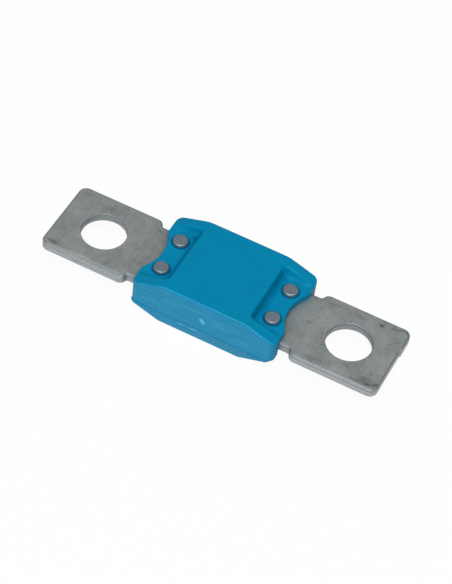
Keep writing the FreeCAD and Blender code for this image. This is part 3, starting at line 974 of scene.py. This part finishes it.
def blueNylon(name):
    # glass-filled nylon, injection moulded: even saturated blue, satin, faintly cloudy with a very fine
    # grain; painted shade deepens the colour in the corners, the side walls are scuffed a little paler, the
    # upper front edges get a painted highlight and the upper back edges painted shade
    material, add = newMaterial(name)
    coordinates = add("TexCoord").outputs
    place = coordinates["Object"]
    cloudScale, grainScale = [1 / (size * mm) for size in (nylon["cloudSize"], nylon["grainSize"])]
    cloud = add("TexNoise", {"Vector": place, "Scale": cloudScale, "Detail": 4.0})
    grain = add("TexNoise", {"Vector": place, "Scale": grainScale, "Detail": 3.0})
    tint = add("Mix", {0: cloud, 6: hexColor(nylon["darker"]), 7: hexColor(nylon["paler"])},
               data_type="RGBA")

    facing = add("SeparateXYZ", {0: coordinates["Normal"]}).outputs
    sideways = add("Math", {0: facing["Y"]}, operation="ABSOLUTE")
    along = add("SeparateXYZ", {0: place}).outputs
    out = add("Math", {0: along["Y"]}, operation="ABSOLUTE")
    wall = shell["width"] / 2
    atRim = add("MapRange", {0: out, **between(wall, nylon["rimReach"])})
    onWall = add("MapRange", {0: sideways, 1: 0.8, 2: 0.95})
    onWall = add("Math", {0: onWall, 1: atRim}, operation="MULTIPLY")
    scuffSize = (nylon["scuffLength"], nylon["scuffLength"], nylon["scuffPitch"])
    scuffScale = [1 / (size * mm) for size in scuffSize]
    scuffPlace = add("Mapping", {"Vector": place, "Scale": scuffScale, "Rotation": (0, 0.04, 0)})
    scuff = add("TexNoise", {"Vector": scuffPlace, "Scale": 1.0, "Detail": 4.0})
    pale = add("MapRange", {0: scuff, 1: 0.45, 2: 0.75, 4: 0.2})
    speckle = add("MapRange", {0: grain, 1: 0.5, 2: 0.7, 4: 0.12})
    pale = add("Math", {0: pale, 1: speckle}, operation="ADD")
    for x, level, halfLength, halfHeight, turn, strength in nylon["marks"]:
        fade = markFade(add, place, (x, -wall, level), (0, math.radians(-turn), 0),
                        (halfLength, nylon["markDepth"], halfHeight))
        pale = add("Math", {0: fade, 1: strength, 2: pale}, operation="MULTIPLY_ADD")
    pale = add("Math", {0: pale, 1: onWall}, operation="MULTIPLY", use_clamp=True)
    scuffed = add("Mix", {0: pale, 6: tint, 7: hexColor(nylon["scuffed"])}, data_type="RGBA")

    # painted highlight on the upper edges that face the front, and painted shade on those that face the back
    lipRange = between(shell["wallHalfWidth"], nylon["lipReach"])
    lip = add("MapRange", {0: along["Y"], **lipRange, 4: 0.7})
    atRim = add("Math", {0: atRim, 1: lip}, operation="MAXIMUM")
    upwards = add("MapRange", {0: facing["Z"], 1: 0.15, 2: 0.4})
    upwards = add("Math", {0: upwards, 1: atRim}, operation="MULTIPLY")
    raised = add("MapRange", {0: along["Z"], **between(0, nylon["edgeLightLevels"])})
    upwards = add("Math", {0: upwards, 1: raised}, operation="MULTIPLY")
    # painted highlight on the front-facing rounding, fainter along the left slope
    slopeRange = between(0, nylon["slopeReach"])
    slope = add("MapRange", {0: along["X"], **slopeRange, 3: nylon["leftHighlight"]})
    near = add("MapRange", {0: facing["Y"], 1: -0.6, 2: -0.3, 3: 1.0, 4: 0.0})
    near = add("Math", {0: near, 1: slope}, operation="MULTIPLY")
    # painted shade on the back-facing edges and along the back wall's brink
    far = add("MapRange", {0: facing["Y"], 1: 0.2, 2: 0.5})
    brink = add("MapRange", {0: along["Y"], **between(wall, nylon["brinkReach"]), 4: 0.8})
    far = add("Math", {0: far, 1: brink}, operation="MAXIMUM")
    surface = scuffed
    for edge, colour in ((near, nylon["rimHighlight"]), (far, nylon["farEdgeShade"])):
        share = add("Math", {0: edge, 1: upwards}, operation="MULTIPLY")
        surface = add("Mix", {0: share, 6: surface, 7: hexColor(colour)}, data_type="RGBA")

    # painted shade beside the recess walls, on them and round the rivets, with the gloss dulled there
    besideWall = add("AmbientOcclusion", {"Distance": nylon["wallReach"] * mm}, samples=8, only_local=True)
    besideWall = add("MapRange", {0: besideWall.outputs["AO"], 1: 0.74, 2: 0.87, 3: 1.0, 4: 0.0})
    sideRange = between(0, nylon["shadeSides"])
    side = add("MapRange", {0: along["X"], **sideRange, 3: nylon["leftShade"], 4: nylon["rightShade"]})
    besideWall = add("Math", {0: besideWall, 1: side}, operation="MULTIPLY")
    contact = add("AmbientOcclusion", {"Distance": nylon["contactReach"] * mm}, samples=8)
    contact = add("MapRange", {0: contact.outputs["AO"], 1: 0.86, 2: 0.99, 3: 1.0, 4: 0.0})
    paintedShade = add("Math", {0: besideWall, 1: contact}, operation="MAXIMUM")
    flat = add("MapRange", {0: facing["Z"], 1: 0.3, 2: 0.9})
    paintedShade = add("Math", {0: paintedShade, 1: flat}, operation="MULTIPLY")
    limit = between(shell["wallHalfWidth"], nylon["shadeLimit"])
    inside = add("MapRange", {0: out, **limit, 3: nylon["wallShade"], 4: 0.0})
    steep = add("MapRange", {0: facing["Z"], 1: 0.6, 2: 0.99, 3: 1.0, 4: 0.0})
    steep = add("Math", {0: steep, 1: inside}, operation="MULTIPLY")
    paintedShade = add("Math", {0: paintedShade, 1: steep}, operation="MAXIMUM")
    above = add("MapRange", {0: along["Z"], **between(shell["floorLevel"], nylon["shadeLevels"])})
    paintedShade = add("Math", {0: paintedShade, 1: above}, operation="MULTIPLY")
    shaded = add("Mix", {0: paintedShade, 6: surface, 7: hexColor(nylon["shaded"])}, data_type="RGBA")
    gloss = add("MapRange", {0: onWall, 3: nylon["plainGloss"], 4: nylon["wallGloss"]})
    dulled = add("MapRange", {0: paintedShade, 2: 0.01, 3: 1.0, 4: 0.2})
    gloss = add("Math", {0: gloss, 1: dulled}, operation="MULTIPLY")
    bump = add("Bump", {"Height": grain, "Distance": nylon["relief"] * mm, "Strength": 0.4})
    shader = add("BsdfPrincipled", {
        "Base Color": shaded, "Roughness": 0.42, "IOR": 1.5, "Specular IOR Level": gloss, "Normal": bump})
    add("OutputMaterial", {"Surface": shader})
    return material


def makeLowerShell(material):
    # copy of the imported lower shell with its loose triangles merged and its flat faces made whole
    flatWithin = math.radians(0.5)
    bm = bmesh.new()
    bm.from_mesh(nodes["lower_housing"].data)
    bmesh.ops.remove_doubles(bm, verts=bm.verts, dist=mergeWithin)
    bmesh.ops.dissolve_limit(bm, angle_limit=flatWithin, verts=bm.verts, edges=bm.edges)
    mesh = bpy.data.meshes.new("lower_shell")
    bm.to_mesh(mesh)
    bm.free()
    piece = link("lower_shell", mesh)
    smoothBelow(mesh, shell["keptSharp"])
    mesh.materials.append(material)
    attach(piece, "root")
    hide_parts("lower_housing")


makeUpperShell(blueNylon("blue_glass_filled_nylon_upper"))
makeLowerShell(blueNylon("blue_glass_filled_nylon_lower"))
print("housing made")

sizes = {"cad": cadBounds, "visual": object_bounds()}
sizes = {key: [[float(v) for v in corner] for corner in bounds] for key, bounds in sizes.items()}
